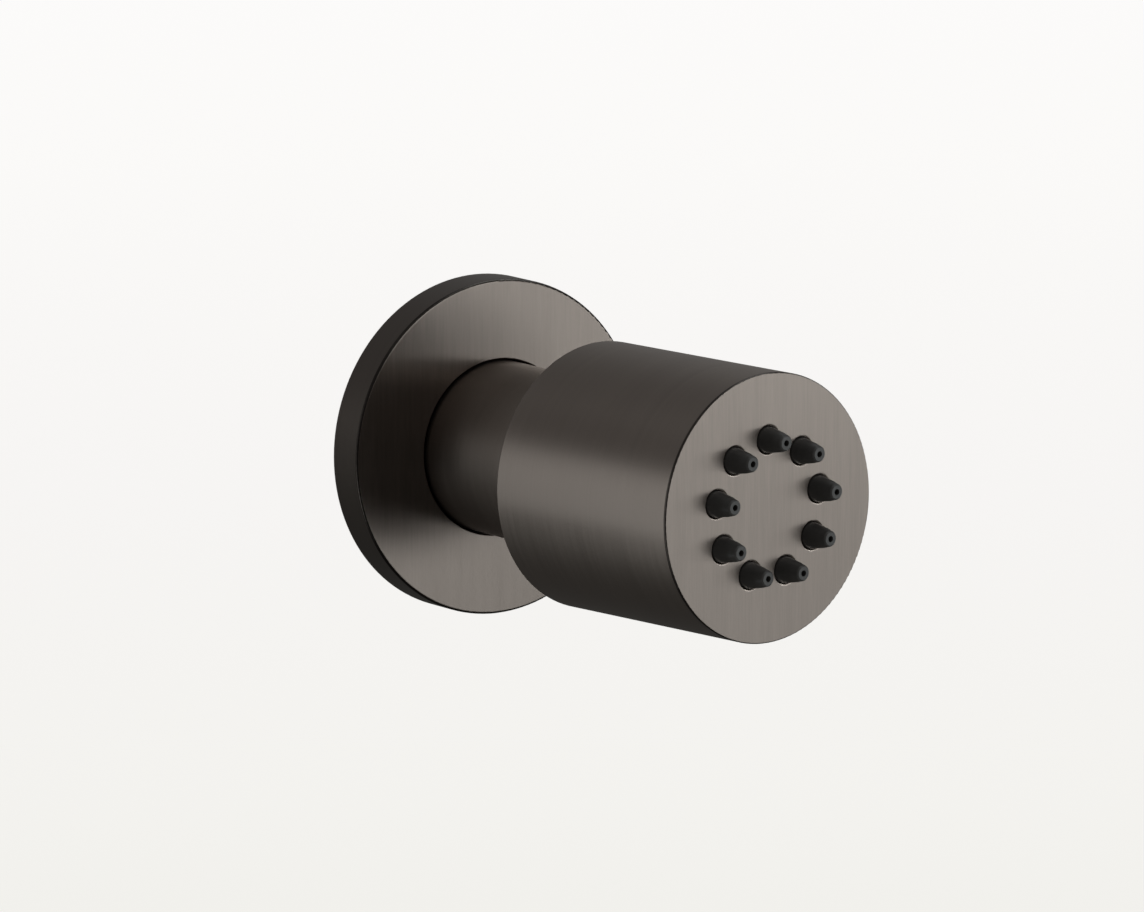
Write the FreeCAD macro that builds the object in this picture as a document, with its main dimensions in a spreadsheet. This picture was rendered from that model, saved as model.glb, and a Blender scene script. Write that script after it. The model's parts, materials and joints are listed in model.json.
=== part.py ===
import FreeCAD, Part
import math
import os
import Sketcher

# Wall-mounted swivel body jet, in millimetres
# The wall is the plane Y = 0, the jet sprays towards -Y and Z is up. The origin is the
# centre of the wall plate's back, on the axis of the inlet thread. "Ahead" below means
# the distance from the wall towards -Y, or from the ball's centre for the head.

SIZES = {
    # wall plate: a turned cup with a hub round its bore
    "plate_radius": 30.0,
    "plate_height": 7.4,
    "plate_rim": 2.0,
    "plate_front": 2.4,
    "plate_edge": 0.45,
    "plate_bore_edge": 0.2,
    "hub_wall": 2.9,
    "hub_depth": 4.8,
    "plate_groove_wall": 2.6,
    "gasket_width": 4.8,
    # neck sleeve: a tube with an end wall that is dished round the ball's centre
    "sleeve_radius": 15.4,
    "sleeve_wall": 1.4,
    "sleeve_start": 2.0,
    "sleeve_short": 7.6,
    "sleeve_lip": 0.6,
    "sleeve_edge": 0.25,
    "end_wall": 2.5,
    "sleeve_gap": 0.35,
    # inlet body: half inch pipe thread, spanner hexagon, waist and front flange
    "thread_radius": 10.48,
    "thread_length": 12.0,
    "thread_chamfer": 1.0,
    "thread_relief": 0.38,
    "hexagon_gap": 0.14,
    "hexagon_length": 8.0,
    "waist_radius": 10.6,
    "flange_gap": 0.2,
    "flange_length": 7.0,
    "socket_relief": 1.0,
    "inlet_bore": 7.0,
    "inlet_step": 6.0,
    "waterway_bore": 4.5,
    "seal_height": 1.5,
    "seal_inner_gap": 0.1,
    "seal_width": 2.88,
    # strainer and flow regulator in the inlet bore
    "insert_gap": 0.1,
    "strainer_height": 1.8,
    "strainer_mesh": 0.5,
    "strainer_rim": 0.8,
    "strainer_hole": 0.55,
    "strainer_inner_ring": 2.2,
    "strainer_outer_ring": 4.3,
    "strainer_inner_holes": 6,
    "strainer_outer_holes": 12,
    "cage_height": 4.5,
    "cage_wall": 1.2,
    "cage_floor": 1.2,
    "cage_post": 1.7,
    "cage_post_height": 2.9,
    "cage_hole": 0.75,
    "cage_hole_ring": 3.6,
    "cage_holes": 6,
    "regulator_cord": 1.5,
    # ball stem: threaded shank, clamping collar, neck and ball, bored through
    "ball_radius": 11.0,
    "ball_ahead": 53.0,
    "stem_radius": 6.0,
    "stem_bore": 3.9,
    "collar_radius": 9.0,
    "collar_height": 2.2,
    "collar_back": 16.0,
    "collar_gap": 0.3,
    "shank_radius": 7.0,
    "shank_length": 13.5,
    "shank_chamfer": 0.6,
    "shank_gap": 0.15,
    "shank_groove_wall": 1.6,
    "key_flats": 8.2,
    "key_depth": 6.0,
    "ball_mouth": 5.2,
    # ball bearing: slip ring behind the ball, sprung seat and seal in front of it
    "ball_gap": 0.12,
    "swing_angle": 21.1,
    "slip_thickness": 1.18,
    "slip_front_angle": 72.0,
    "seat_rear_angle": 65.0,
    "seat_front_angle": 35.0,
    "seat_wall": 1.92,
    "seat_ahead": 1.88,
    "seat_gap": 0.1,
    "seat_groove_wall": 1.8,
    "seal_gap": 0.1,
    "seal_front_angle": 44.0,
    "seal_rear_angle": 56.0,
    "seal_thickness": 1.5,
    "seal_play": 0.04,
    "seal_play_angle": 0.25,
    "spring_thickness": 0.4,
    "spring_space": 2.0,
    "spring_width": 2.6,
    "spring_gap": 0.1,
    "spring_waves": 3,
    # retaining nut: screwed into the head, domed to turn inside the sleeve's dish
    "nut_gap": 0.15,
    "nut_front": 4.0,
    "nut_flange": 1.2,
    "nut_tail": 10.0,
    "dish_gap": 0.7,
    "nut_flare": 0.8,
    "wrench_slots": 4,
    "wrench_width": 3.0,
    "wrench_depth": 1.5,
    "wrench_gap": 0.1,
    # head: one turned cup with the face and its ring of holes
    "head_radius": 23.5,
    "head_wall": 1.8,
    "head_rear": 12.4,
    "head_length": 44.2,
    "face_thickness": 2.2,
    "face_edge": 0.2,
    "rear_edge": 0.3,
    "nozzle_count": 9,
    "nozzle_ring": 11.9,
    "nozzle_base": 2.3,
    "nozzle_shoulder": 1.75,
    "nozzle_tip": 1.4,
    "nozzle_shoulder_height": 3.1,
    "nozzle_height": 4.6,
    "nozzle_round": 0.25,
    "nozzle_gap": 0.1,
    "nozzle_bore": 0.55,
    "nozzle_feed": 1.3,
    "hole_edge": 0.4,
    "mat_thickness": 1.4,
    "mat_gap": 0.3,
    # water chamber behind the face, its O-ring, pressure plate and screws
    "chamber_gap": 0.2,
    "chamber_rim": 2.0,
    "chamber_wall": 3.5,
    "chamber_floor": 2.5,
    "chamber_groove_wall": 1.6,
    "socket_wall": 2.4,
    "socket_mouth": 8.0,
    "press_plate": 2.8,
    "press_gap": 0.1,
    "boss_radius": 2.2,
    "boss_sunk": 0.45,
    "screw_count": 3,
    "screw_radius": 1.25,
    "screw_length": 12.0,
    "screw_head": 2.2,
    "screw_gap": 0.05,
    "screw_socket": 1.0,
    # round seals: cord thickness and the play left round each in its groove
    "plate_cord": 1.5,
    "sleeve_cord": 1.6,
    "shank_cord": 1.4,
    "seat_cord": 1.2,
    "chamber_cord": 1.5,
    "cord_play": 0.05,
    # the head is turned aside from straight out, as it was set
    "rest_turn": 6.6,
}

doc = FreeCAD.newDocument("shower_body_jet")
sheet = doc.addObject("Spreadsheet::Sheet", "Sizes")
for row, (alias, value) in enumerate(SIZES.items(), start=1):
    sheet.set(f"A{row}", alias)
    sheet.set(f"B{row}", str(value))
    sheet.setAlias(f"B{row}", alias)
doc.recompute()


class Size:
    """A cell of the sheet, or a formula on cells: its text for setExpression and its value."""

    def __init__(self, text, value):
        self.text = text
        self.value = value

    def __add__(self, other):
        return join(self, "+", other, self.value + number(other))

    def __radd__(self, other):
        return join(other, "+", self, number(other) + self.value)

    def __sub__(self, other):
        return join(self, "-", other, self.value - number(other))

    def __rsub__(self, other):
        return join(other, "-", self, number(other) - self.value)

    def __mul__(self, other):
        return join(self, "*", other, self.value * number(other))

    def __rmul__(self, other):
        return join(other, "*", self, number(other) * self.value)

    def __truediv__(self, other):
        return join(self, "/", other, self.value / number(other))

    def __neg__(self):
        return Size(f"-({self.text})", -self.value)


def number(item):
    """The plain value of a size or a number."""
    return item.value if isinstance(item, Size) else float(item)


def words(item):
    """The formula text of a size or a number."""
    return item.text if isinstance(item, Size) else repr(float(item))


def join(first, sign, second, value):
    """A formula of two terms."""
    return Size(f"({words(first)} {sign} {words(second)})", value)


def root(square):
    """The square root of a formula."""
    return Size(f"sqrt({words(square)})", math.sqrt(square.value))


def leg(slant, side):
    """The second short side of a right triangle, from its slant and its other side."""
    return root(slant * slant - side * side)


def sine(angle):
    """The sine of an angle in degrees."""
    return Size(f"sin({words(angle)})", math.sin(math.radians(number(angle))))


def cosine(angle):
    """The cosine of an angle in degrees."""
    return Size(f"cos({words(angle)})", math.cos(math.radians(number(angle))))


def polar(radius, angle):
    """A point on a sphere round the ball's centre: angle in degrees from the axis, behind it."""
    return radius * sine(angle), -(radius * cosine(angle))


def swung(radius, side, angle):
    """Where a sphere round the ball's centre meets a rod of radius side, swung by that angle."""
    rear = leg(radius, side)
    return side * cosine(angle) + rear * sine(angle), side * sine(angle) - rear * cosine(angle)


class Cells:
    """Every size of the sheet by name."""

    def __getattr__(self, name):
        return Size("Sizes." + name, float(SIZES[name]))


at = Cells()


def set_on_ball(piece):
    """Moves a piece that was drawn round the ball's centre to the ball, and turns it aside."""
    piece.Placement = FreeCAD.Placement(
        FreeCAD.Vector(0, -at.ball_ahead.value, 0),
        FreeCAD.Rotation(FreeCAD.Vector(0, 0, 1), at.rest_turn.value),
    )
    piece.setExpression("Placement.Base.y", words(-at.ball_ahead))
    piece.setExpression("Placement.Rotation.Angle", words(at.rest_turn))


def new_body(label, turns_with_head=False):
    """An empty body. The head's bodies are drawn round the ball's centre and turned aside."""
    body = doc.addObject("PartDesign::Body", label)
    body.Label = label
    if turns_with_head:
        set_on_ball(body)
    return body


def origin(body, role):
    """A plane or an axis of the body's own origin."""
    return next(item for item in body.Origin.OriginFeatures if item.Role == role)


def new_sketch(body, role, ahead=None):
    """A sketch on a plane of the body's origin, moved along the plane's normal by ahead."""
    sketch = body.newObject("Sketcher::SketchObject", body.Name + "_sketch")
    sketch.AttachmentSupport = [(origin(body, role), "")]
    sketch.MapMode = "FlatFace"
    if ahead is not None:
        lift = FreeCAD.Vector(0, 0, number(ahead))
        sketch.AttachmentOffset = FreeCAD.Placement(lift, FreeCAD.Rotation())
        sketch.setExpression("AttachmentOffset.Base.z", words(ahead))
    return sketch


def bind(sketch, kind, size, *place):
    """A dimension of the sketch that follows its cell or formula."""
    index = sketch.addConstraint(Sketcher.Constraint(kind, *place, number(size)))
    sketch.setExpression(f"Constraints[{index}]", words(size))


def outline(sketch, corners):
    """A closed outline through corners (x, y). A corner with a third value starts an arc
    whose centre lies on the sketch's upright axis at that height."""
    count = len(corners)
    ends = []
    for i, corner in enumerate(corners):
        start = FreeCAD.Vector(number(corner[0]), number(corner[1]), 0)
        after = corners[(i + 1) % count]
        end = FreeCAD.Vector(number(after[0]), number(after[1]), 0)
        if len(corner) == 2:
            edge = sketch.addGeometry(Part.LineSegment(start, end), False)
            ends.append((edge, 1, 2))
            continue
        centre = FreeCAD.Vector(0, number(corner[2]), 0)
        first = math.atan2(start.y - centre.y, start.x)
        last = math.atan2(end.y - centre.y, end.x)
        circle = Part.Circle(centre, FreeCAD.Vector(0, 0, 1), (start - centre).Length)
        edge = sketch.addGeometry(Part.ArcOfCircle(circle, min(first, last), max(first, last)), False)
        ends.append((edge, 1, 2) if first < last else (edge, 2, 1))
        sketch.addConstraint(Sketcher.Constraint("PointOnObject", edge, 3, -2))
    for i, (edge, start, end) in enumerate(ends):
        following = ends[(i + 1) % count]
        sketch.addConstraint(Sketcher.Constraint("Coincident", edge, end, following[0], following[1]))
        bind(sketch, "DistanceX", corners[i][0], -1, 1, edge, start)
        bind(sketch, "DistanceY", corners[i][1], -1, 1, edge, start)


def circle(sketch, x, y, radius):
    """A circle with its centre at (x, y)."""
    middle = FreeCAD.Vector(number(x), number(y), 0)
    ring = Part.Circle(middle, FreeCAD.Vector(0, 0, 1), number(radius))
    edge = sketch.addGeometry(ring, False)
    bind(sketch, "DistanceX", x, -1, 1, edge, 3)
    bind(sketch, "DistanceY", y, -1, 1, edge, 3)
    bind(sketch, "Radius", radius, edge)


def feature(body, kind, sketch=None):
    """A feature of the body, on a sketch where it has one."""
    made = body.newObject("PartDesign::" + kind, body.Name + "_" + kind.lower())
    if sketch is not None:
        made.Profile = sketch
        sketch.Visibility = False
    return made


def turn(body, corners, kind="Revolution"):
    """A turned form, or a turned cut with kind Groove: corners are (radius, ahead)."""
    sketch = new_sketch(body, "XY_Plane")
    outline(sketch, [(c[0], -c[1]) if len(c) == 2 else (c[0], -c[1], -c[2]) for c in corners])
    made = feature(body, kind, sketch)
    made.ReferenceAxis = (sketch, ["V_Axis"])
    made.Angle = 360
    doc.recompute()
    return made


def push_sketch(body, kind, sketch, length, ahead=False):
    """A Pad or Pocket of that length, backwards, or towards the front with ahead set."""
    made = feature(body, kind, sketch)
    made.Length = number(length)
    made.setExpression("Length", words(length))
    made.Reversed = ahead if kind == "Pocket" else not ahead
    doc.recompute()
    return made


def repeat(body, features, count):
    """The features repeated round the body's axis."""
    pattern = body.newObject("PartDesign::PolarPattern", body.Name + "_pattern")
    pattern.Originals = features
    pattern.Axis = (origin(body, "Y_Axis"), [""])
    pattern.Angle = 360
    pattern.Occurrences = int(number(count))
    pattern.setExpression("Occurrences", words(count))
    body.Tip = pattern
    doc.recompute()
    return pattern


def ring_edges(body, radius, ahead):
    """Names of the full circles of that radius that lie that far ahead, in the body's own frame."""
    found = []
    shape = body.Tip.Shape
    for i, edge in enumerate(shape.Edges, start=1):
        curve = edge.Curve
        if curve.TypeId != "Part::GeomCircle":
            continue
        if abs(curve.Radius - number(radius)) < 0.001 and abs(-curve.Center.y - number(ahead)) < 0.001:
            found.append(f"Edge{i}")
    return found


def soften(body, kind, size, edges):
    """A Fillet or Chamfer of that size on the body's named edges."""
    if not edges:
        raise RuntimeError(f"{body.Label}: no edge to soften")
    base = body.Tip
    made = body.newObject("PartDesign::" + kind, body.Name + "_" + kind.lower())
    made.Base = (base, edges)
    dimension = "Radius" if kind == "Fillet" else "Size"
    setattr(made, dimension, number(size))
    made.setExpression(dimension, words(size))
    body.Tip = made
    doc.recompute()


def o_ring(label, radius, ahead, cord, turns_with_head=False):
    """A round seal: a circle of the cord's thickness turned about the axis."""
    body = new_body(label, turns_with_head)
    sketch = new_sketch(body, "XY_Plane")
    circle(sketch, radius, -ahead, cord / 2)
    ring = feature(body, "Revolution", sketch)
    ring.ReferenceAxis = (sketch, ["V_Axis"])
    ring.Angle = 360
    doc.recompute()


def hexagon(sketch, corner):
    """A hexagon round the origin, with two corners on the level axis at the distance corner."""
    outline(sketch, [(corner * cosine(turned), corner * sine(turned)) for turned in range(0, 360, 60)])


# A cut goes through its wall with room to spare: this many times the wall's thickness
THROUGH = 2

# Wall plate: turned from bar, with a rim that meets the wall and a hub round the neck
plate_bore = at.sleeve_radius + at.sleeve_gap
plate_recess = at.plate_height - at.plate_front
plate_inside = at.plate_radius - at.plate_rim
hub_radius = plate_bore + at.hub_wall
hub_back = at.plate_height - at.hub_depth
plate_groove = at.sleeve_radius + 2 * at.cord_play + at.plate_cord
groove_front = at.plate_height - at.plate_groove_wall
groove_back = groove_front - at.plate_cord - 2 * at.cord_play
wall_plate = new_body("wall_plate")
turn(wall_plate, [
    (at.plate_radius, 0),
    (at.plate_radius, at.plate_height),
    (plate_bore, at.plate_height),
    (plate_bore, groove_front),
    (plate_groove, groove_front),
    (plate_groove, groove_back),
    (plate_bore, groove_back),
    (plate_bore, hub_back),
    (hub_radius, hub_back),
    (hub_radius, plate_recess),
    (plate_inside, plate_recess),
    (plate_inside, 0),
])
soften(wall_plate, "Fillet", at.plate_edge, ring_edges(wall_plate, at.plate_radius, at.plate_height))
soften(wall_plate, "Chamfer", at.plate_bore_edge, ring_edges(wall_plate, plate_bore, at.plate_height))

# Foam gasket inside the plate's rim, pressed against the wall
plate_gasket = new_body("plate_gasket")
turn(plate_gasket, [
    (plate_inside, 0),
    (plate_inside, plate_recess),
    (plate_inside - at.gasket_width, plate_recess),
    (plate_inside - at.gasket_width, 0),
])

# O-ring in the hub that grips the neck and holds the plate against the wall
o_ring("plate_o_ring", at.sleeve_radius + at.cord_play + at.plate_cord / 2,
       (groove_front + groove_back) / 2, at.plate_cord)

# Neck sleeve: the end wall is clamped by the ball stem's collar, in a counterbore, and its
# dish is part of a sphere round the ball's centre
sleeve_bore = at.sleeve_radius - at.sleeve_wall
lip_radius = at.sleeve_radius - at.sleeve_lip
sleeve_end = at.ball_ahead - at.sleeve_short
dish_radius = root(lip_radius * lip_radius + at.sleeve_short * at.sleeve_short)
counterbore = at.collar_radius + at.collar_gap
collar_seat = at.ball_ahead - at.collar_back
sleeve_back_wall = collar_seat - at.end_wall
shank_hole = at.shank_radius + at.shank_gap
neck_sleeve = new_body("neck_sleeve")
turn(neck_sleeve, [
    (at.sleeve_radius, at.sleeve_start),
    (at.sleeve_radius, sleeve_end),
    (lip_radius, sleeve_end, at.ball_ahead),
    (counterbore, at.ball_ahead - leg(dish_radius, counterbore)),
    (counterbore, collar_seat),
    (shank_hole, collar_seat),
    (shank_hole, sleeve_back_wall),
    (sleeve_bore, sleeve_back_wall),
    (sleeve_bore, at.sleeve_start),
])
soften(neck_sleeve, "Fillet", at.sleeve_edge, ring_edges(neck_sleeve, at.sleeve_radius, sleeve_end))

# Inlet body: threaded into the wall fitting behind a relief for the flat seal, with a spanner
# hexagon, and the sleeve's O-ring on its front flange
flange_radius = sleeve_bore - at.flange_gap
flange_back = sleeve_back_wall - at.flange_length
sleeve_groove = sleeve_bore - 2 * at.cord_play - at.sleeve_cord
sleeve_groove_half = at.sleeve_cord / 2 + at.cord_play
flange_middle = sleeve_back_wall - at.flange_length / 2
socket_bottom = collar_seat - at.shank_length - at.socket_relief
relief_radius = at.thread_radius - at.thread_relief
inlet_body = new_body("inlet_body")
turn(inlet_body, [
    (at.thread_radius, at.thread_chamfer - at.thread_length),
    (at.thread_radius, 0),
    (relief_radius, 0),
    (relief_radius, at.seal_height),
    (at.waist_radius, at.seal_height),
    (at.waist_radius, flange_back),
    (flange_radius, flange_back),
    (flange_radius, flange_middle - sleeve_groove_half),
    (sleeve_groove, flange_middle - sleeve_groove_half),
    (sleeve_groove, flange_middle + sleeve_groove_half),
    (flange_radius, flange_middle + sleeve_groove_half),
    (flange_radius, sleeve_back_wall),
    (shank_hole, sleeve_back_wall),
    (shank_hole, socket_bottom),
    (at.waterway_bore, socket_bottom),
    (at.waterway_bore, at.inlet_step),
    (at.inlet_bore, at.inlet_step),
    (at.inlet_bore, -at.thread_length),
    (at.thread_radius - at.thread_chamfer, -at.thread_length),
])
hexagon_sketch = new_sketch(inlet_body, "XZ_Plane", at.seal_height)
hexagon(hexagon_sketch, sleeve_bore - at.hexagon_gap)
circle(hexagon_sketch, 0, 0, (at.inlet_bore + at.thread_radius) / 2)
push_sketch(inlet_body, "Pad", hexagon_sketch, at.hexagon_length, ahead=True)

# Flat seal between the hexagon and the wall fitting
seal_inside = relief_radius + at.seal_inner_gap
thread_seal = new_body("thread_seal")
turn(thread_seal, [
    (seal_inside, 0),
    (seal_inside, at.seal_height),
    (seal_inside + at.seal_width, at.seal_height),
    (seal_inside + at.seal_width, 0),
])

# O-ring that centres the sleeve on the flange
o_ring("sleeve_o_ring", sleeve_bore - at.cord_play - at.sleeve_cord / 2, flange_middle, at.sleeve_cord)

# Strainer: a rim with a perforated disc, pushed into the inlet bore
insert_radius = at.inlet_bore - at.insert_gap
cage_back = at.inlet_step - at.cage_height
strainer_back = cage_back - at.strainer_height
strainer = new_body("inlet_strainer")
turn(strainer, [
    (0, strainer_back),
    (insert_radius, strainer_back),
    (insert_radius, cage_back),
    (insert_radius - at.strainer_rim, cage_back),
    (insert_radius - at.strainer_rim, strainer_back + at.strainer_mesh),
    (0, strainer_back + at.strainer_mesh),
])
middle_sketch = new_sketch(strainer, "XZ_Plane", cage_back)
circle(middle_sketch, 0, 0, at.strainer_hole)
push_sketch(strainer, "Pocket", middle_sketch, THROUGH * at.strainer_height)
for ring_radius, hole_count in (
    (at.strainer_inner_ring, at.strainer_inner_holes),
    (at.strainer_outer_ring, at.strainer_outer_holes),
):
    hole_sketch = new_sketch(strainer, "XZ_Plane", cage_back)
    circle(hole_sketch, 0, ring_radius, at.strainer_hole)
    hole = push_sketch(strainer, "Pocket", hole_sketch, THROUGH * at.strainer_height)
    repeat(strainer, [hole], hole_count)

# Flow regulator: a cage with a post, and the soft ring that closes round the post
cage = new_body("regulator_cage")
turn(cage, [
    (0, at.inlet_step),
    (insert_radius, at.inlet_step),
    (insert_radius, cage_back),
    (insert_radius - at.cage_wall, cage_back),
    (insert_radius - at.cage_wall, at.inlet_step - at.cage_floor),
    (at.cage_post, at.inlet_step - at.cage_floor),
    (at.cage_post, at.inlet_step - at.cage_floor - at.cage_post_height),
    (0, at.inlet_step - at.cage_floor - at.cage_post_height),
])
cage_hole_sketch = new_sketch(cage, "XZ_Plane", at.inlet_step)
circle(cage_hole_sketch, 0, at.cage_hole_ring, at.cage_hole)
cage_hole = push_sketch(cage, "Pocket", cage_hole_sketch, THROUGH * at.cage_floor)
repeat(cage, [cage_hole], at.cage_holes)
o_ring("regulator_ring", at.cage_post + at.cord_play + at.regulator_cord / 2,
       at.inlet_step - at.cage_floor - at.cord_play - at.regulator_cord / 2, at.regulator_cord)

# Ball stem: one brass turning, screwed through the sleeve's end wall into the inlet body
shank_back = collar_seat - at.shank_length
shank_groove = shank_hole - 2 * at.cord_play - at.shank_cord
shank_groove_back = shank_back + at.shank_groove_wall
shank_groove_front = shank_groove_back + at.shank_cord + 2 * at.cord_play
collar_front = collar_seat + at.collar_height
ball_front = at.ball_ahead + leg(at.ball_radius, at.ball_mouth)
ball_stem = new_body("ball_stem")
turn(ball_stem, [
    (at.stem_bore, shank_back),
    (at.shank_radius - at.shank_chamfer, shank_back),
    (at.shank_radius, shank_back + at.shank_chamfer),
    (at.shank_radius, shank_groove_back),
    (shank_groove, shank_groove_back),
    (shank_groove, shank_groove_front),
    (at.shank_radius, shank_groove_front),
    (at.shank_radius, collar_seat),
    (at.collar_radius, collar_seat),
    (at.collar_radius, collar_front),
    (at.stem_radius, collar_front),
    (at.stem_radius, at.ball_ahead - leg(at.ball_radius, at.stem_radius), at.ball_ahead),
    (at.ball_mouth, ball_front),
    (at.stem_bore, ball_front - (at.ball_mouth - at.stem_bore)),
])
key_sketch = new_sketch(ball_stem, "XZ_Plane", ball_front)
hexagon(key_sketch, at.key_flats / math.sqrt(3))
push_sketch(ball_stem, "Pocket", key_sketch, at.key_depth)
o_ring("shank_o_ring", shank_hole - at.cord_play - at.shank_cord / 2,
       (shank_groove_back + shank_groove_front) / 2, at.shank_cord)

# Slip ring: a thin band of a sphere behind the ball, on which the nut slides
ball_seat = at.ball_radius + at.ball_gap
slip_outside = ball_seat + at.slip_thickness
nut_seat = slip_outside + at.ball_gap
slip_ring = new_body("slip_ring", turns_with_head=True)
turn(slip_ring, [
    (*swung(ball_seat, at.stem_radius, at.swing_angle), 0),
    polar(ball_seat, at.slip_front_angle),
    (*polar(slip_outside, at.slip_front_angle), 0),
    swung(slip_outside, at.stem_radius, at.swing_angle),
])

# Seat ring: pressed on the ball's front by the spring, with grooves for its two seals
seat_start = polar(ball_seat, 180 - at.seat_rear_angle)
seat_stop = polar(ball_seat, 180 - at.seat_front_angle)
seat_radius = seat_start[0] + at.seat_wall
seat_bore = seat_radius + at.seat_gap
seat_front = ball_seat + at.seat_ahead
seal_bottom = ball_seat + at.seal_thickness
seat_groove = seat_bore - 2 * at.cord_play - at.seat_cord
seat_groove_front = seat_front - at.seat_groove_wall
seat_groove_back = seat_groove_front - at.seat_cord - 2 * at.cord_play
groove_angle = 180 - at.seal_rear_angle - at.seal_play_angle
groove_end_angle = 180 - at.seal_front_angle + at.seal_play_angle
seat_ring = new_body("seat_ring", turns_with_head=True)
turn(seat_ring, [
    (*seat_start, 0),
    polar(ball_seat, groove_angle),
    (*polar(seal_bottom, groove_angle), 0),
    polar(seal_bottom, groove_end_angle),
    (*polar(ball_seat, groove_end_angle), 0),
    seat_stop,
    (seat_stop[0], seat_front),
    (seat_radius, seat_front),
    (seat_radius, seat_groove_front),
    (seat_groove, seat_groove_front),
    (seat_groove, seat_groove_back),
    (seat_radius, seat_groove_back),
    (seat_radius, seat_start[1]),
])

# Ball seal: a soft band whose face is part of the sphere
seal_face = at.ball_radius + at.seal_gap
ball_seal = new_body("ball_seal", turns_with_head=True)
turn(ball_seal, [
    (*polar(seal_face, 180 - at.seal_rear_angle), 0),
    polar(seal_face, 180 - at.seal_front_angle),
    (*polar(seal_bottom - at.seal_play, 180 - at.seal_front_angle), 0),
    polar(seal_bottom - at.seal_play, 180 - at.seal_rear_angle),
])
o_ring("seat_o_ring", seat_bore - at.cord_play - at.seat_cord / 2,
       (seat_groove_front + seat_groove_back) / 2, at.seat_cord, turns_with_head=True)

# Head shell: one turned cup whose closed end is the spray face
head_inside = at.head_radius - at.head_wall
face_front = at.head_length - at.head_rear
face_back = face_front - at.face_thickness
hole_radius = at.nozzle_base + at.nozzle_gap
head_shell = new_body("head_shell", turns_with_head=True)
turn(head_shell, [
    (0, face_front),
    (at.head_radius, face_front),
    (at.head_radius, -at.head_rear),
    (head_inside, -at.head_rear),
    (head_inside, face_back),
    (0, face_back),
])
soften(head_shell, "Fillet", at.face_edge, ring_edges(head_shell, at.head_radius, face_front))
soften(head_shell, "Fillet", at.rear_edge, ring_edges(head_shell, at.head_radius, -at.head_rear))
soften(head_shell, "Chamfer", at.rear_edge, ring_edges(head_shell, head_inside, -at.head_rear))
outlet_sketch = new_sketch(head_shell, "XZ_Plane", face_front)
circle(outlet_sketch, 0, at.nozzle_ring, hole_radius)
outlet = push_sketch(head_shell, "Pocket", outlet_sketch, THROUGH * at.face_thickness)
repeat(head_shell, [outlet], at.nozzle_count)
soften(head_shell, "Fillet", at.hole_edge, ring_edges(head_shell, hole_radius, face_front))

# Nozzle mat: one silicone moulding, a disc behind the face with the nozzles through it
mat_back = face_back - at.mat_thickness
tip_ahead = face_front + at.nozzle_height
nozzle_mat = new_body("nozzle_mat", turns_with_head=True)
turn(nozzle_mat, [
    (0, mat_back),
    (head_inside - at.mat_gap, mat_back),
    (head_inside - at.mat_gap, face_back),
    (0, face_back),
])


def round_nozzle(kind, corners):
    """A form turned about the topmost nozzle's own axis: corners are (radius, ahead)."""
    sketch = new_sketch(nozzle_mat, "YZ_Plane")
    outline(sketch, [(-ahead, at.nozzle_ring + radius) for radius, ahead in corners])
    axis = sketch.addGeometry(Part.LineSegment(
        FreeCAD.Vector(-tip_ahead.value, at.nozzle_ring.value, 0),
        FreeCAD.Vector(-mat_back.value, at.nozzle_ring.value, 0)), True)
    for end, ahead in ((1, tip_ahead), (2, mat_back)):
        bind(sketch, "DistanceX", -ahead, -1, 1, axis, end)
        bind(sketch, "DistanceY", at.nozzle_ring, -1, 1, axis, end)
    made = feature(nozzle_mat, kind, sketch)
    made.ReferenceAxis = (sketch, ["Axis0"])
    made.Angle = 360
    doc.recompute()
    return made


nozzle = round_nozzle("Revolution", [
    (0, mat_back),
    (at.nozzle_base, mat_back),
    (at.nozzle_base, face_front),
    (at.nozzle_shoulder, face_front + at.nozzle_shoulder_height),
    (at.nozzle_tip, tip_ahead - at.nozzle_round),
    (at.nozzle_tip - at.nozzle_round, tip_ahead),
    (0, tip_ahead),
])
nozzle_way = round_nozzle("Groove", [
    (0, mat_back),
    (at.nozzle_feed, mat_back),
    (at.nozzle_feed, face_front),
    (at.nozzle_bore, face_front + at.nozzle_shoulder_height),
    (at.nozzle_bore, tip_ahead),
    (0, tip_ahead),
])
repeat(nozzle_mat, [nozzle, nozzle_way], at.nozzle_count)

# Spray chamber: a moulded cup that carries the seat ring and presses the mat on the face
chamber_outside = head_inside - at.chamber_gap
chamber_inside = chamber_outside - at.chamber_wall
rim_inside = chamber_outside - at.chamber_rim
shelf = mat_back - at.press_plate
floor_front = at.nut_front + at.chamber_floor
spring_stop = seat_front + at.spring_space
socket_outside = seat_bore + at.socket_wall
socket_end = spring_stop + at.chamber_floor
chamber_groove = head_inside - 2 * at.cord_play - at.chamber_cord
chamber_groove_front = shelf - at.chamber_groove_wall
chamber_groove_back = chamber_groove_front - at.chamber_cord - 2 * at.cord_play
boss_ring = chamber_inside - at.boss_radius + at.boss_sunk
spray_chamber = new_body("spray_chamber", turns_with_head=True)
turn(spray_chamber, [
    (seat_bore, at.nut_front),
    (chamber_outside, at.nut_front),
    (chamber_outside, chamber_groove_back),
    (chamber_groove, chamber_groove_back),
    (chamber_groove, chamber_groove_front),
    (chamber_outside, chamber_groove_front),
    (chamber_outside, mat_back),
    (rim_inside, mat_back),
    (rim_inside, shelf),
    (chamber_inside, shelf),
    (chamber_inside, floor_front),
    (socket_outside, floor_front),
    (socket_outside, socket_end),
    (at.socket_mouth, socket_end),
    (at.socket_mouth, spring_stop),
    (seat_bore, spring_stop),
])
boss_sketch = new_sketch(spray_chamber, "XZ_Plane", floor_front)
circle(boss_sketch, 0, -boss_ring, at.boss_radius)
boss = push_sketch(spray_chamber, "Pad", boss_sketch, shelf - floor_front, ahead=True)
pilot_sketch = new_sketch(spray_chamber, "XZ_Plane", shelf)
circle(pilot_sketch, 0, -boss_ring, at.screw_radius + at.screw_gap)
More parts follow.
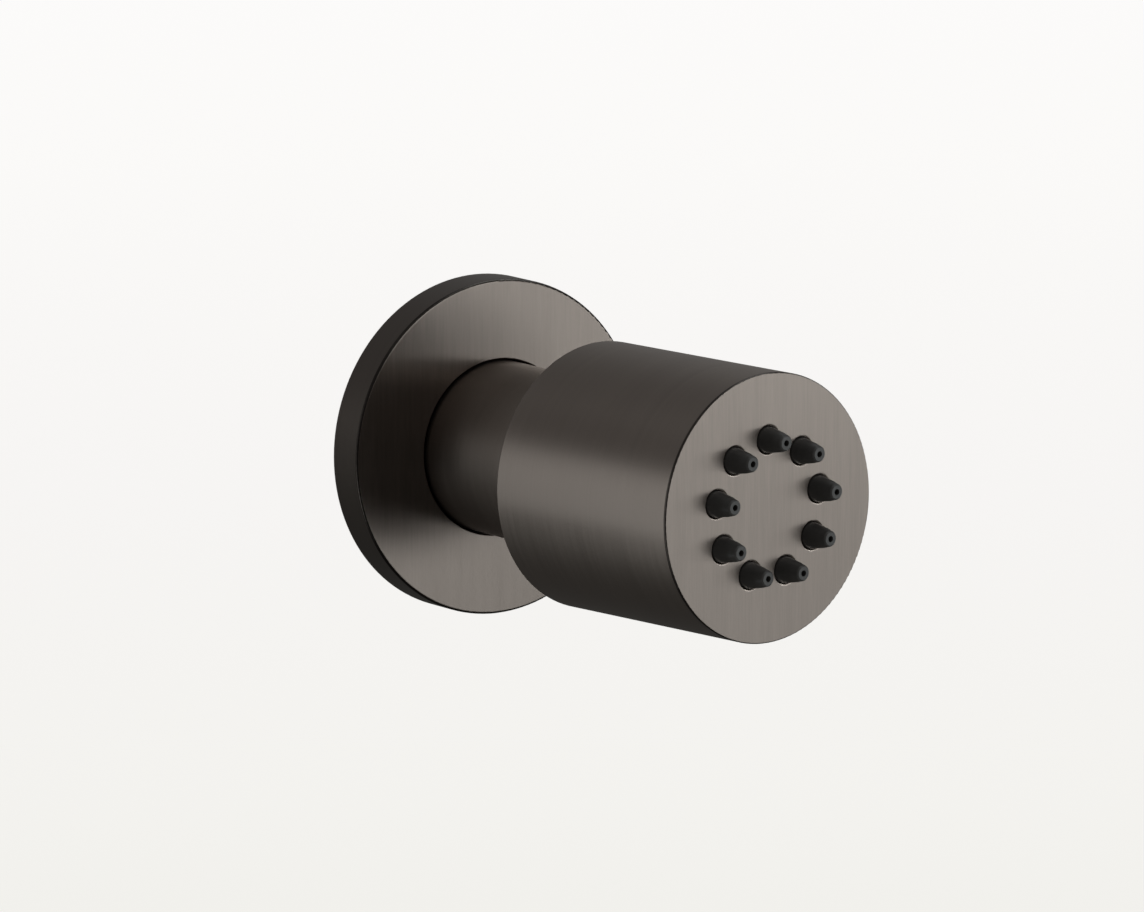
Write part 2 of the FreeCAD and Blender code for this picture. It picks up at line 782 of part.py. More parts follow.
pilot = push_sketch(spray_chamber, "Pocket", pilot_sketch, at.screw_length)
repeat(spray_chamber, [boss, pilot], at.screw_count)
o_ring("chamber_o_ring", head_inside - at.cord_play - at.chamber_cord / 2,
       (chamber_groove_front + chamber_groove_back) / 2, at.chamber_cord, turns_with_head=True)

# Pressure plate: backs the mat, feeds each nozzle and is held by countersunk screws
press_radius = rim_inside - at.press_gap
screw_clear = at.screw_radius + at.screw_gap
head_clear = at.screw_head + at.screw_gap
pressure_plate = new_body("pressure_plate", turns_with_head=True)
turn(pressure_plate, [
    (0, shelf),
    (press_radius, shelf),
    (press_radius, mat_back),
    (0, mat_back),
])
feed_sketch = new_sketch(pressure_plate, "XZ_Plane", mat_back)
circle(feed_sketch, 0, at.nozzle_ring, at.nozzle_feed)
feed = push_sketch(pressure_plate, "Pocket", feed_sketch, THROUGH * at.press_plate)
repeat(pressure_plate, [feed], at.nozzle_count)
clear_sketch = new_sketch(pressure_plate, "XZ_Plane", mat_back)
circle(clear_sketch, 0, -boss_ring, screw_clear)
clear = push_sketch(pressure_plate, "Pocket", clear_sketch, THROUGH * at.press_plate)
repeat(pressure_plate, [clear], at.screw_count)
countersinks = ring_edges(pressure_plate, screw_clear, mat_back)
soften(pressure_plate, "Chamfer", head_clear - screw_clear, countersinks)

# Plate screws: three countersunk screws as one group, each with a hexagon socket
screws = []
cone_height = at.screw_head.value - at.screw_radius.value
for index in range(int(at.screw_count.value)):
    turned = 360.0 / at.screw_count.value * index
    shank = Part.makeCylinder(at.screw_radius.value, at.screw_length.value)
    cone = Part.makeCone(at.screw_radius.value, at.screw_head.value, cone_height)
    cone.translate(FreeCAD.Vector(0, 0, at.screw_length.value - cone_height))
    corners = [FreeCAD.Vector(at.screw_socket.value * math.cos(math.radians(60 * k)),
                              at.screw_socket.value * math.sin(math.radians(60 * k)),
                              at.screw_length.value) for k in range(7)]
    socket = Part.Face(Part.makePolygon(corners)).extrude(FreeCAD.Vector(0, 0, -at.screw_socket.value))
    screw = shank.fuse(cone).cut(socket)
    screw.rotate(FreeCAD.Vector(), FreeCAD.Vector(1, 0, 0), 90)
    screw.translate(FreeCAD.Vector(0, at.screw_length.value - mat_back.value, -boss_ring.value))
    screw.rotate(FreeCAD.Vector(), FreeCAD.Vector(0, 1, 0), turned)
    screws.append(screw)


def place_part(label, shape):
    """A piece made with Part's own functions, set round the ball's centre and turned aside."""
    piece = doc.addObject("Part::Feature", label)
    piece.Label = label
    piece.Shape = shape
    set_on_ball(piece)


place_part("plate_screws", Part.makeCompound(screws))

# Seat spring: a flat ring bent into even waves between the seat ring and the chamber
points_per_wave = 12
wave = ((at.spring_space - at.spring_thickness) / 2 - at.cord_play).value
spring_middle = (seat_front + at.spring_space / 2).value
spring_outside = (seat_bore - at.spring_gap).value


def wave_line(radius):
    """A closed curve on a cylinder that rises and falls with the spring's waves."""
    steps = points_per_wave * int(at.spring_waves.value)
    points = []
    for k in range(steps):
        angle = 2 * math.pi * k / steps
        rise = wave * math.cos(at.spring_waves.value * angle)
        back = -spring_middle + at.spring_thickness.value / 2 + rise
        points.append(FreeCAD.Vector(radius * math.cos(angle), back, radius * math.sin(angle)))
    curve = Part.BSplineCurve()
    curve.interpolate(points, PeriodicFlag=True)
    return curve.toShape()


spring_inside = spring_outside - at.spring_width.value
spring_face = Part.makeRuledSurface(wave_line(spring_inside), wave_line(spring_outside))
place_part("seat_spring", spring_face.extrude(FreeCAD.Vector(0, -at.spring_thickness.value, 0)))

# Retaining nut: screwed into the shell behind the chamber, a spherical seat inside and a
# dome outside, open enough for the stem at full tilt, with slots for a pin wrench
nut_outside = head_inside - at.nut_gap
dome_radius = dish_radius - at.dish_gap
throat = swung(nut_seat, at.stem_radius, at.swing_angle)
retaining_nut = new_body("retaining_nut", turns_with_head=True)
turn(retaining_nut, [
    (nut_outside, at.nut_front),
    (nut_outside, -at.nut_flange),
    (leg(dome_radius, at.nut_flange), -at.nut_flange, 0),
    (leg(dome_radius, at.nut_tail), -at.nut_tail),
    (throat[0] + at.nut_flare, -at.nut_tail),
    (*throat, 0),
    (nut_seat, 0),
    (nut_seat, at.nut_front),
])
slot_sketch = new_sketch(retaining_nut, "XZ_Plane", -at.nut_flange)
slot_inside = dome_radius + at.wrench_gap
outline(slot_sketch, [
    (-at.wrench_width / 2, slot_inside),
    (at.wrench_width / 2, slot_inside),
    (at.wrench_width / 2, at.head_radius),
    (-at.wrench_width / 2, at.head_radius),
])
slot = push_sketch(retaining_nut, "Pocket", slot_sketch, at.wrench_depth, ahead=True)
repeat(retaining_nut, [slot], at.wrench_slots)

# Each piece is checked, then written to its own file
doc.recompute()
pieces = [item for item in doc.Objects if item.TypeId in ("PartDesign::Body", "Part::Feature")]
pieces = [item for item in pieces if item.getParentGeoFeatureGroup() is None]
for item in doc.Objects:
    if "Invalid" in item.State or "Error" in item.State:
        raise RuntimeError(f"{item.Label}: {item.State}")
for piece in pieces:
    if piece.Shape.isNull() or not piece.Shape.isValid():
        raise RuntimeError(f"{piece.Label} has no valid shape")
os.makedirs("parts", exist_ok=True)
for piece in pieces:
    piece.Shape.exportStep(f"parts/{piece.Label}.step")
    print(piece.Label, len(piece.Shape.Solids), round(piece.Shape.Volume, 2))
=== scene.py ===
import json
import math

import bpy
import numpy as np
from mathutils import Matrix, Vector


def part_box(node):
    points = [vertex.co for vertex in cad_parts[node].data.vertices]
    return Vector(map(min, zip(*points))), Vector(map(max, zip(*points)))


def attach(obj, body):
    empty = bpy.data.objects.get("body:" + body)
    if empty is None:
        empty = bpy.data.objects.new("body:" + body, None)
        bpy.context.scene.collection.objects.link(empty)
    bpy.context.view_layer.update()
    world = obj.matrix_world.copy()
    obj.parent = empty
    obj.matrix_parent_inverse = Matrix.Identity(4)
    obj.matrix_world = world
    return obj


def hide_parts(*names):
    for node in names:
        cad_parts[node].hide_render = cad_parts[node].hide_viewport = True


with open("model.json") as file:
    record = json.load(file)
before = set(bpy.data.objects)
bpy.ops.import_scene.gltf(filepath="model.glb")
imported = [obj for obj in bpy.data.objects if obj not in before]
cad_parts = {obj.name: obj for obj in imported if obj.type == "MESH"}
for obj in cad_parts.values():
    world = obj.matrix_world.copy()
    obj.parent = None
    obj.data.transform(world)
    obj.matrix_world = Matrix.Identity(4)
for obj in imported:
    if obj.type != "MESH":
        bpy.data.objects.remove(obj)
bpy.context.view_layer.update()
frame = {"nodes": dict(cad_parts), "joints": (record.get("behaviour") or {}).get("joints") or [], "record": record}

# Wall plate: a round cover turned from bar and brushed straight down its front. It slides on
# the neck and is held against the wall by an O-ring in its hub.


class Wire:
    """A socket of a node tree. Arithmetic on it adds Math nodes."""

    def __init__(self, finish, socket):
        self.finish = finish
        self.socket = socket

    def math(self, operation, *terms):
        return self.finish.node("ShaderNodeMath", {"operation": operation}, dict(enumerate(terms)))

    def __add__(self, other):
        return self.math("ADD", self, other)

    def __sub__(self, other):
        return self.math("SUBTRACT", self, other)

    def __rsub__(self, other):
        return self.math("SUBTRACT", other, self)

    def __mul__(self, other):
        return self.math("MULTIPLY", self, other)

    def __truediv__(self, other):
        return self.math("DIVIDE", self, other)

    def __gt__(self, other):
        return self.math("GREATER_THAN", self, other)

    __rmul__ = __mul__

    def part(self, name):
        """Another output of the same node."""
        return Wire(self.finish, self.socket.node.outputs[name])


class Finish:
    """The node tree of a material or of the world, which starts empty."""

    def __init__(self, owner):
        owner.use_nodes = True
        self.owner = owner
        self.nodes = owner.node_tree.nodes
        self.links = owner.node_tree.links
        self.nodes.clear()

    def node(self, kind, settings=None, sockets=None):
        """A node of that type: its settings first, then the values or wires of its sockets."""
        made = self.nodes.new(kind)
        for name, value in (settings or {}).items():
            if name == "stops":
                ramp = made.color_ramp.elements
                while len(ramp) < len(value):
                    ramp.new(1.0)
                for stop, (position, colour) in zip(ramp, value):
                    stop.position = position
                    stop.color = (*colour, 1.0)
            else:
                setattr(made, name, value)
        for name, value in (sockets or {}).items():
            if isinstance(value, Wire):
                self.links.new(value.socket, made.inputs[name])
            else:
                made.inputs[name].default_value = value
        return Wire(self, made.outputs[0]) if made.outputs else None

    def place(self, centre=(0, 0, 0), turned=(0, 0, 0)):
        """The point's place on the piece, measured from centre in axes turned by those angles."""
        here = self.node("ShaderNodeTexCoord").part("Object")
        sockets = {"Vector": here, "Location": centre, "Rotation": turned}
        return self.node("ShaderNodeMapping", {"vector_type": "TEXTURE"}, sockets)

    def noise(self, vector, scale, detail=2.0):
        """Noise about zero, within one half, with scale cells a metre along each axis."""
        cells = self.node("ShaderNodeVectorMath", {"operation": "MULTIPLY"}, {0: vector, 1: scale})
        return self.node("ShaderNodeTexNoise", None, {"Vector": cells, "Scale": 1.0, "Detail": detail}) - 0.5

    def smooth(self, value, low, high):
        """Zero below low, one above high and a smooth step between them."""
        sockets = {"Value": value, "From Min": low, "From Max": high}
        return self.node("ShaderNodeMapRange", {"interpolation_type": "SMOOTHSTEP"}, sockets)

    def tint(self, colour, factor):
        """A colour multiplied by a number."""
        sockets = {0: colour, "Scale": factor}
        return self.node("ShaderNodeVectorMath", {"operation": "SCALE"}, sockets)

    def bump(self, height, distance, strength=1.0):
        """A bump whose height of one is that distance in metres."""
        sockets = {"Height": height, "Distance": distance, "Strength": strength}
        return self.node("ShaderNodeBump", None, sockets)

    def principled(self, sockets):
        return self.node("ShaderNodeBsdfPrincipled", {"distribution": "MULTI_GGX"}, sockets)

    def surface(self, shader):
        """Sets the tree's output, and hands back the material or the world."""
        output = "World" if isinstance(self.owner, bpy.types.World) else "Material"
        self.node("ShaderNodeOutput" + output, None, {"Surface": shader})
        return self.owner


def wear(node, material):
    """Gives a node of the frame that material all over."""
    worn = frame["nodes"][node]
    worn.data.materials.clear()
    worn.data.materials.append(material)


MM = 0.001
GUNMETAL = (0.249, 0.210, 0.184)
# How far behind the flat front its grain reaches, how deep the rounded edges go and how far from
# the axis the holes lie, and then how much darker the rim's edge is painted, a painted shade
# line, and how much paler the holes' edges are painted, a painted highlight.
SKIN = 0.02 * MM
EDGE_DEPTH = 0.5 * MM
HOLES_REACH = 20.0 * MM
RIM_SHADE_TONE = 0.75
HIGHLIGHT_TONE = 9.0


def brushed_gunmetal(name, front_at, painted_side_light=1.0, edge_polish_and_highlight=0.0, centre=(0, 0, 0), turned=(0, 0, 0)):
    """Dark gunmetal with straight vertical grain on the flat front, which lies front_at metres
    ahead of centre, and fine turning lines round the sides, whose colour painted_side_light
    scales as painted light: below one it paints shade on them, above one it paints light. In
    the EDGE_DEPTH behind the front the rim is painted darker, a painted shade line, and what
    lies within HOLES_REACH of the axis, the holes' rounded edges, is paler by a painted
    highlight and smoother by real polishing, both by edge_polish_and_highlight."""
    finish = Finish(bpy.data.materials.new(name))
    here = finish.place(centre, turned)
    ahead = finish.node("ShaderNodeSeparateXYZ", None, {0: here}).part("Y") * -1.0
    without_ahead = {0: here, 1: (1.0, 0.0, 1.0)}
    across = finish.node("ShaderNodeVectorMath", {"operation": "MULTIPLY"}, without_ahead)
    off_axis = finish.node("ShaderNodeVectorMath", {"operation": "LENGTH"}, {0: across}).part("Value")
    edge = ahead > front_at - EDGE_DEPTH
    on_rim = off_axis > HOLES_REACH
    # The rim's rounded edge is painted darker here: a painted shade line.
    painted_rim_shade = edge * on_rim * RIM_SHADE_TONE
    # Near the axis the holes' rounded edges get a painted highlight in their colour and real polishing in their
    # roughness.
    polish_and_highlight = edge * (1.0 - on_rim) * edge_polish_and_highlight
    strands = finish.noise(here, (2600.0, 600.0, 120.0), 3.0)
    bands = finish.noise(here, (520.0, 100.0, 40.0))
    lines = finish.noise(here, (25.0, 2400.0, 25.0), 3.0)
    clouds = finish.noise(here, (60.0, 60.0, 60.0))
    turned_tone = lines * 0.12 + clouds * 0.05 + 1.0
    front = finish.principled({
        "Base Color": finish.tint(GUNMETAL, strands * 0.36 + bands * 0.15 + 1.0),
        "Roughness": strands * 0.12 + 0.40,
        "Normal": finish.bump(strands, 4e-6, 0.35),
        "Metallic": 1.0,
        "Anisotropic": 0.9,
    })
    side = finish.principled({
        # painted_side_light scales the sides' colour as painted light: below one it is painted shade, above one
        # painted light.
        "Base Color": finish.tint(GUNMETAL, painted_side_light * (turned_tone - painted_rim_shade + polish_and_highlight * HIGHLIGHT_TONE)),
        "Roughness": lines * 0.10 + 0.35 - polish_and_highlight,
        "Normal": finish.bump(lines, 3e-6, 0.3),
        "Metallic": 1.0,
    })
    on_front = {0: ahead > front_at, 1: side, 2: front}
    return finish.surface(finish.node("ShaderNodeMixShader", None, on_front))


plate_front = -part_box("wall_plate")[0][1]
# The plate's sides are painted darker, to 0.54, as painted shade.
wear("wall_plate", brushed_gunmetal("plate_gunmetal", plate_front - SKIN, painted_side_light=0.54))

# Plate gasket: a ring die-cut from closed-cell foam and stuck in the plate's rim, where it
# seals on the tiles.


def rubber(name, colour, roughness, cell, depth):
    """Matt rubber or foam with a surface of fine cells of that size and depth in metres."""
    finish = Finish(bpy.data.materials.new(name))
    here = finish.place()
    cells = finish.noise(here, (1 / cell,) * 3, 4.0)
    bloom = finish.noise(here, (90.0,) * 3)
    return finish.surface(finish.principled({
        "Base Color": finish.tint(colour, bloom * 0.5 + cells * 0.4 + 1.0),
        "Roughness": cells * 0.2 + roughness,
        "Normal": finish.bump(cells, depth),
        "Specular IOR Level": 0.4,
    }))


wear("plate_gasket", rubber("gasket_foam", (0.045, 0.045, 0.048), 0.85, 3e-4, 8e-5))

# Neck sleeve: a tube with a dished end wall, turned and finished as the plate is. The ball
# stem clamps its end wall on the inlet body.
NO_FRONT = 1.0
# The neck's sides are painted paler, to 1.15, as painted light.
wear("neck_sleeve", brushed_gunmetal("neck_gunmetal", NO_FRONT, painted_side_light=1.15))

# Inlet body: a brass turning with a half inch pipe thread that screws into the wall fitting, a
# spanner hexagon, a waist and a flange that centres the neck. Its fine thread is cut here.
THREAD_PITCH = 1.814 * MM
THREAD_DEPTH = 1.162 * MM
THREAD_ENTRY = 1.0 * MM
STATIONS_A_TURN = 18
CORNERS = 6
AROUND = 32 * CORNERS
BEVEL_STATIONS = 5
SHARP_EDGE = math.radians(44)


def brass(name):
    """Bright turned brass with fine tool lines and a slight tarnish."""
    finish = Finish(bpy.data.materials.new(name))
    here = finish.place()
    lines = finish.noise(here, (30.0, 3000.0, 30.0))
    tarnish = finish.noise(here, (220.0,) * 3, 4.0)
    return finish.surface(finish.principled({
        "Base Color": finish.tint((0.60, 0.42, 0.18), tarnish * 0.5 + lines * 0.2 + 1.0),
        "Roughness": tarnish * 0.2 + 0.3,
        "Normal": finish.bump(lines, 5e-6, 0.4),
        "Metallic": 1.0,
    }))


def turned_piece(name, stations, radius_at):
    """A closed turning: station s at angle t lies at (r cos t, place, r sin t), where radius_at
    gives r on the whole grid of stations (radius, place) and angles, which wraps both ways."""
    angle = np.arange(AROUND) * 2 * math.pi / AROUND
    radius, place = (column[:, None] + 0 * angle for column in np.array(stations).T)
    radius = radius_at(radius, place, angle)
    points = np.stack([radius * np.cos(angle), place, radius * np.sin(angle)], axis=-1)
    grid = np.arange(radius.size).reshape(radius.shape)
    beside, after = np.roll(grid, -1, 1), np.roll(grid, -1, 0)
    faces = np.stack([grid, beside, np.roll(after, -1, 1), after], axis=-1)
    mesh = bpy.data.meshes.new(name)
    mesh.from_pydata(points.reshape(-1, 3), [], faces.reshape(-1, 4))
    mesh.shade_smooth()
    mesh.set_sharp_from_angle(angle=SHARP_EDGE)
    made = bpy.data.objects.new(name, mesh)
    bpy.context.scene.collection.objects.link(made)
    return made


inlet_low, inlet_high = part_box("inlet_body")
sleeve_ring_low, sleeve_ring_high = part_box("sleeve_o_ring")
ring_play = 0.05 * MM
thread_crest = frame["record"]["mounts"][0]["dims"]["r_mm"] * MM
thread_end, flange_front = inlet_high[1], inlet_low[1]
hexagon_corner, flange_radius = inlet_high[0], inlet_high[2]
hexagon_length = 8.0 * MM
hexagon_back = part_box("thread_seal")[0][1]
hexagon_front = hexagon_back - hexagon_length
hexagon_bevel = 0.6 * MM
thread_relief = 0.38 * MM
seal_seat = thread_crest - thread_relief
waist = 10.6 * MM
flange_length = 7.0 * MM
flange_back = flange_front + flange_length
groove_back, groove_front = sleeve_ring_high[1] + ring_play, sleeve_ring_low[1] - ring_play
groove_radius = sleeve_ring_high[0] - (groove_back - groove_front) + ring_play
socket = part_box("shank_o_ring")[1][0] + ring_play
socket_relief = 1.0 * MM
socket_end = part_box("ball_stem")[1][1] + socket_relief
waterway = 4.5 * MM
bore_end = -6.0 * MM
bore = 7.0 * MM
first_crest = thread_end - THREAD_ENTRY / 8
thread_places = np.arange(first_crest, 0.0, -THREAD_PITCH / STATIONS_A_TURN)
bevel_steps = np.linspace(0.0, hexagon_bevel, BEVEL_STATIONS)


def inlet_radius(radius, place, angle):
    """Thread: r = crest - depth (1 - cos 2 pi (place / pitch + angle / 2 pi)) / 2, which fades out
    in the turn next to the seal and is cut by the cone of the entry. Hexagon: the flats
    r = corner cos 30 / cos(30 - angle) of each sixth, or the turned bevel where that is less."""
    wave = np.cos(2 * math.pi * place / THREAD_PITCH + angle)
    fade = np.clip(place / THREAD_PITCH, 0, 1)
    entry = thread_crest - THREAD_ENTRY + (thread_end - place)
    threaded = np.minimum(thread_crest - THREAD_DEPTH * fade * (1 - wave) / 2, entry)
    sector = math.pi / CORNERS
    flat = hexagon_corner * math.cos(sector) / np.cos(sector - angle % (2 * sector))
    radius = np.where((place > 0) & (radius > bore), threaded, radius)
    on_hexagon = (place <= hexagon_back) & (place >= hexagon_front) & (radius > waist)
    return np.where(on_hexagon, np.minimum(radius, flat), radius)


threaded_inlet = turned_piece("threaded_inlet", [
    (thread_crest - THREAD_ENTRY, thread_end),
    *[(thread_crest, place) for place in thread_places],
    (thread_crest, 0.0), (seal_seat, 0.0), (seal_seat, hexagon_back),
    *[(hexagon_corner - hexagon_bevel + step, hexagon_back - step / 2) for step in bevel_steps],
    *[(hexagon_corner - step, hexagon_front + (hexagon_bevel - step) / 2) for step in bevel_steps],
    (waist, hexagon_front), (waist, flange_back), (flange_radius, flange_back),
    (flange_radius, groove_back), (groove_radius, groove_back),
    (groove_radius, groove_front), (flange_radius, groove_front),
    (flange_radius, flange_front), (socket, flange_front), (socket, socket_end),
    (waterway, socket_end), (waterway, bore_end), (bore, bore_end), (bore, thread_end),
], inlet_radius)
raw_brass = brass("raw_brass")
threaded_inlet.data.materials.append(raw_brass)
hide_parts("inlet_body")
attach(threaded_inlet, "wall_mount")

# Plate O-ring: black nitrile rubber in the groove of the plate's hub. The neck presses its
# section from a round to an oval, so that it holds the plate and lets no light past.
SECTION_STEPS = 24
PRESSED_ON = 0.03 * MM
hub_ring_low, hub_ring_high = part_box("plate_o_ring")
ring_outer = hub_ring_high[0]
ring_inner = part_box("neck_sleeve")[1][0] - PRESSED_ON
ring_back, ring_front = hub_ring_high[1], hub_ring_low[1]


def oval_section():
    """The ellipse of the pressed section, as stations: at angle a the radius is its middle plus
    half the width times cos a, and the place its middle less half the height times sin a."""
    angle = np.arange(SECTION_STEPS) * 2 * math.pi / SECTION_STEPS
    radius = (ring_outer + ring_inner) / 2 + (ring_outer - ring_inner) / 2 * np.cos(angle)
    place = (ring_back + ring_front) / 2 - (ring_back - ring_front) / 2 * np.sin(angle)
    return np.stack([radius, place], axis=-1)


seal_rubber = rubber("seal_rubber", (0.018, 0.018, 0.019), 0.5, 1.5e-4, 6e-6)
hub_ring = turned_piece("hub_ring", oval_section(), lambda radius, place, angle: radius)
hub_ring.data.materials.append(seal_rubber)
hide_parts("plate_o_ring")
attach(hub_ring, "wall_mount")

# Seals of the inlet: a flat ring of dark fibre that the hexagon presses on the wall fitting,
# and a rubber O-ring in the flange's groove that centres the sleeve.
wear("thread_seal", rubber("fibre_seal", (0.03, 0.03, 0.032), 0.6, 2e-4, 1e-5))
wear("sleeve_o_ring", seal_rubber)

# Strainer of pierced stainless steel, and the flow regulator, an acetal cage with its soft
# ring. Both are pushed into the inlet bore from behind.


def steel(name):
    """Stainless steel with a dull rolled surface."""
    finish = Finish(bpy.data.materials.new(name))
    grain = finish.noise(finish.place(), (900.0, 900.0, 90.0), 3.0)
    return finish.surface(finish.principled({
        "Base Color": finish.tint((0.56, 0.55, 0.53), grain * 0.25 + 1.0),
        "Roughness": grain * 0.15 + 0.32,
        "Normal": finish.bump(grain, 3e-6, 0.4),
        "Metallic": 1.0,
    }))


def moulded(name, colour, roughness):
    """A moulded plastic with a faintly pebbled skin and slow changes of tone."""
    finish = Finish(bpy.data.materials.new(name))
    here = finish.place()
    pebble = finish.noise(here, (2500.0,) * 3)
    flow = finish.noise(here, (120.0,) * 3)
    return finish.surface(finish.principled({
        "Base Color": finish.tint(colour, flow * 0.08 + 1.0),
        "Roughness": pebble * 0.12 + roughness,
        "Normal": finish.bump(pebble, 4e-6),
        "Specular IOR Level": 0.45,
    }))


stainless = steel("stainless")
acetal = moulded("white_acetal", (0.80, 0.80, 0.78), 0.42)
wear("inlet_strainer", stainless)
wear("regulator_cage", acetal)
wear("regulator_ring", moulded("soft_silicone", (0.07, 0.075, 0.08), 0.5))

# Ball stem: one brass turning that clamps the sleeve on the inlet body and ends in the ball
# on which the head swivels, with the O-ring on its shank.
wear("ball_stem", raw_brass)
wear("shank_o_ring", seal_rubber)

# Bearing of the ball: an acetal slip ring behind it, and ahead of it the sprung acetal seat
# with its two soft seals.
wear("slip_ring", acetal)
wear("seat_ring", acetal)
wear("ball_seal", seal_rubber)
wear("seat_o_ring", seal_rubber)

# Head shell: one cup turned from bar, whose closed end is the brushed spray face with a ring
# of holes. The retaining nut screws into it and holds the head on the ball.
spin = next(joint for joint in frame["joints"] if joint["name"] == "head_spin")
ball = np.array(spin["pos_m"])
straight_ahead = np.array(spin["axis"]) / np.linalg.norm(spin["axis"])
head_turn = math.atan2(straight_ahead[0], -straight_ahead[1])
on_head = {"centre": tuple(ball), "turned": (0, 0, head_turn)}


def foremost(node):
    """How far ahead of the ball's centre a node of the head reaches, along the head's axis."""
    mesh = frame["nodes"][node].data
    corners = np.empty(len(mesh.vertices) * 3)
    mesh.vertices.foreach_get("co", corners)
    return ((corners.reshape(-1, 3) - ball) @ straight_ahead).max()


# The head's hole edges take 0.16 of it: a painted highlight in their colour and real polishing in their roughness.
wear("head_shell", brushed_gunmetal(
    "head_gunmetal", foremost("head_shell") - SKIN, edge_polish_and_highlight=0.16, **on_head))
wear("retaining_nut", brushed_gunmetal("nut_gunmetal", NO_FRONT, **on_head))

# Nozzle mat: one moulding of dark silicone whose nine nozzles stand out through the face. Round
# each outlet the tip is painted a little paler, a painted highlight.
TIP_FADE = 0.2 * MM
TIP_ROUND = 0.1 * MM


def silicone(name, tip_at):
    """Dark silicone with a satin skin, painted paler past tip_at metres ahead of the ball's
    centre as a painted highlight.
    """
    finish = Finish(bpy.data.materials.new(name))
    here = finish.place(**on_head)
    ahead = finish.node("ShaderNodeSeparateXYZ", None, {0: here}).part("Y") * -1.0
    pebble = finish.noise(here, (3000.0,) * 3)
    dust = finish.noise(here, (500.0,) * 3, 4.0)
    # Painted highlight: the tips' faces are painted paler.
    painted_tip_light = finish.smooth(ahead, tip_at - TIP_FADE, tip_at)
    return finish.surface(finish.principled({
        "Base Color": finish.tint((0.035, 0.033, 0.031), dust * 0.4 + painted_tip_light * 0.1 + 1.0),
        "Roughness": pebble * 0.15 + 0.42,
        "Normal": finish.bump(pebble, 5e-6),
        "Specular IOR Level": 0.2,
    }))


wear("nozzle_mat", silicone("nozzle_silicone", foremost("nozzle_mat") - TIP_ROUND))

# Spray chamber and pressure plate, moulded in acetal, with the chamber's O-ring, three steel
# screws and the seat's wave spring, all closed inside the head.
wear("spray_chamber", acetal)
wear("pressure_plate", acetal)
wear("chamber_o_ring", seal_rubber)
wear("plate_screws", stainless)
wear("seat_spring", stainless)

# Studio: a plain pale floor well below the part and a pale horizon, both dim in reflections,
# and eight soft boxes: a key on the right with a low one and a faint one in front of it, two
# close on the left, and three above.
FLOOR_DROP = 0.25
FLOOR_REACH = 40.0
TONE_REACH = 3.0
SHADOW_NEAR, SHADOW_FAR = 0.3, 1.0
SHADOW_SHARE = 0.12
HORIZON = (0.975, 0.967, 0.962)
FLOOR_IN_METAL = 0.072
SKY_IN_METAL = 0.17
SKY_LIGHT = 0.35


def seen_as(finish, in_metal, as_light):
    """The background's strength: 1 for the camera and through clear things, less in reflections
    and as light on the part."""
    ray = finish.node("ShaderNodeLightPath")
    plain = ray.part("Is Camera Ray") + ray.part("Is Transmission Ray")
    return plain + ray.part("Is Glossy Ray") * in_metal + ray.part("Is Diffuse Ray") * as_light


def pale_floor():
    """A flat sheet that ends on the horizon. Its tone pales with the distance from the part, to
    TONE_REACH, and near the part SHADOW_SHARE of it is lit paper that takes the part's shadow."""
    reach, low = FLOOR_REACH, -FLOOR_DROP
    mesh = bpy.data.meshes.new("floor")
    sheet = [(-reach, -reach, low), (reach, -reach, low), (reach, reach, low), (-reach, reach, low)]
    mesh.from_pydata(sheet, [], [(0, 1, 2, 3)])
    floor = bpy.data.objects.new("floor", mesh)
    bpy.context.scene.collection.objects.link(floor)
    finish = Finish(bpy.data.materials.new("floor_paper"))
    away = finish.node("ShaderNodeVectorMath", {"operation": "LENGTH"}, {0: finish.place()}).part("Value")
    tone = finish.node("ShaderNodeValToRGB", {"stops": [
        (0.24, (0.890, 0.882, 0.845)),
        (0.46, (0.924, 0.911, 0.898)),
        (0.70, (0.962, 0.952, 0.938)),
        (0.95, HORIZON),
    ]}, {0: away / TONE_REACH})
    strength = seen_as(finish, FLOOR_IN_METAL, 0.0)
    plain = finish.node("ShaderNodeEmission", None, {"Color": tone, "Strength": strength})
    lit = finish.node("ShaderNodeBsdfDiffuse", None, {"Color": tone})
    ray = finish.node("ShaderNodeLightPath")
    untouched = finish.smooth(away, SHADOW_NEAR, SHADOW_FAR) * SHADOW_SHARE + (1.0 - SHADOW_SHARE)
    traced = ray.part("Is Glossy Ray") + ray.part("Is Transmission Ray")
    share = ray.part("Is Camera Ray") * untouched + traced
    paper = finish.surface(finish.node("ShaderNodeMixShader", None, {0: share, 1: lit, 2: plain}))
    paper.cycles.emission_sampling = "NONE"
    mesh.materials.append(paper)
    return floor


pale_floor()

world = bpy.data.worlds.new("studio")
bpy.context.scene.world = world
sky = Finish(world)
sky.surface(sky.node("ShaderNodeBackground", None, {
    "Color": (*HORIZON, 1.0), "Strength": seen_as(sky, SKY_IN_METAL, SKY_LIGHT)}))
world.cycles.sampling_method = "NONE"

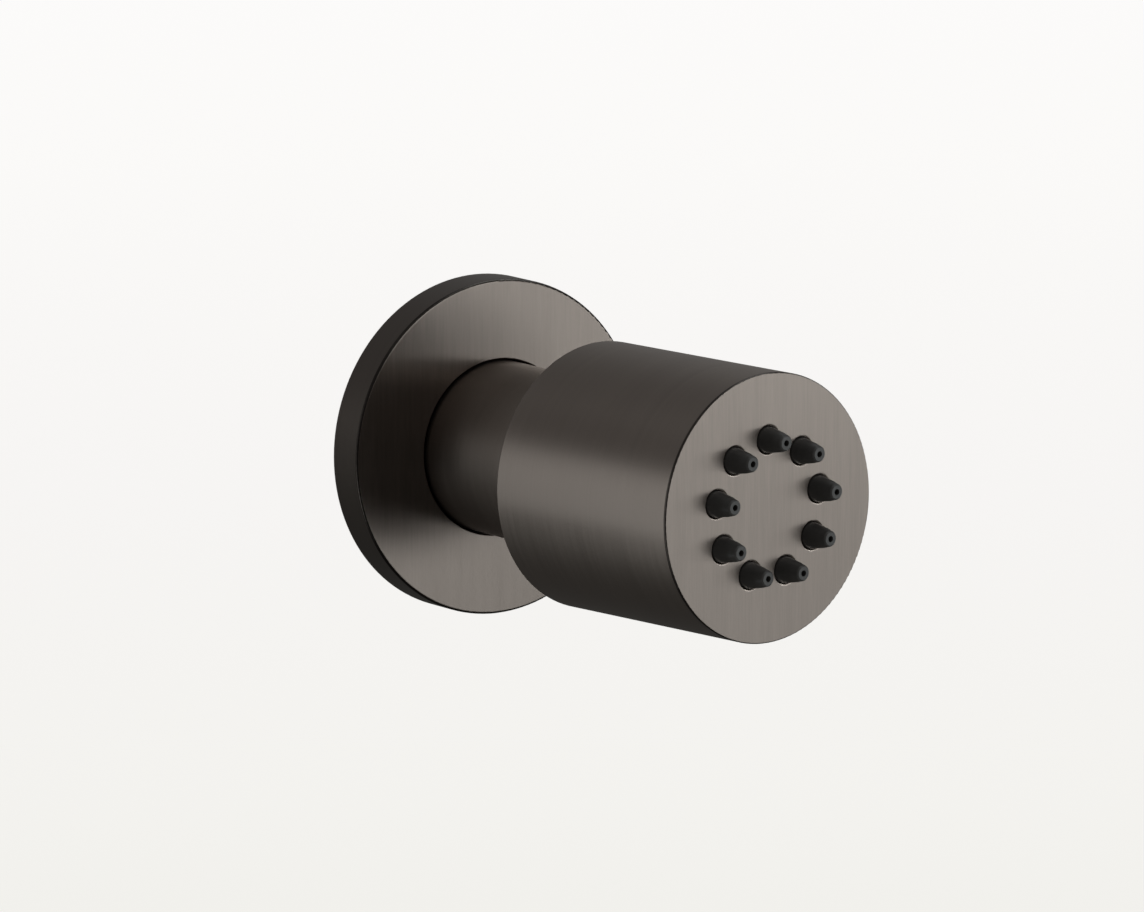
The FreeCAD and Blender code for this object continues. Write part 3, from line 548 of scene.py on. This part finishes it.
LAMP_TINT = (0.905, 0.973, 1.0)


def soft_box(name, azimuth, elevation, distance, width, height, radiance):
    """An area lamp that faces the ball from that distance in metres. Azimuth, turned from +Y
    towards +X, and elevation are in degrees, and its power is pi times radiance times area."""
    turn, rise = math.radians(azimuth), math.radians(elevation)
    level = math.cos(rise)
    away = np.array([math.sin(turn) * level, math.cos(turn) * level, math.sin(rise)])
    lamp = bpy.data.lights.new(name, "AREA")
    lamp.shape = "RECTANGLE"
    lamp.size = width
    lamp.size_y = height
    lamp.energy = math.pi * radiance * width * height
    lamp.color = LAMP_TINT
    placed = bpy.data.objects.new(name, lamp)
    bpy.context.scene.collection.objects.link(placed)
    placed.location = ball + away * distance
    placed.rotation_euler = (math.pi / 2 - rise, 0, math.pi - turn)
    placed.visible_camera = False


soft_box("key_box", 126.0, 4.0, 0.70, 0.42, 0.24, 5.65)
soft_box("low_box", 148.0, -13.5, 0.70, 0.50, 0.20, 2.1)
soft_box("front_box", 172.0, 14.0, 0.70, 0.26, 0.32, 0.6)
soft_box("rim_box", -58.0, 0.5, 0.40, 0.16, 0.27, 0.97)
soft_box("rim_low_box", -76.0, -29.0, 0.40, 0.16, 0.18, 3.2)
soft_box("top_box", 149.0, 61.0, 0.80, 0.36, 0.36, 2.15)
soft_box("top_right_box", 60.0, 58.0, 0.80, 0.36, 0.36, 3.9)
soft_box("top_left_box", -60.0, 58.0, 0.80, 0.36, 0.36, 0.6)

# Camera: level, with the direction, distance and lens that were fitted to the photograph's
# outlines. It stands ahead of the part on the left and a little above it.
azimuth, elevation = math.radians(-34.384), math.radians(9.889)
lens = bpy.data.cameras.new("camera")
lens.sensor_width = 36.0
lens.lens = 324.2
lens.clip_start = 0.05
lens.clip_end = 200.0
camera = bpy.data.objects.new("camera", lens)
bpy.context.scene.collection.objects.link(camera)
camera.location = (-1.00449, -1.49832, 0.31174)
camera.rotation_euler = (math.pi / 2 - elevation, 0, azimuth)
bpy.context.scene.camera = camera
bpy.context.scene.view_settings.view_transform = "Standard"
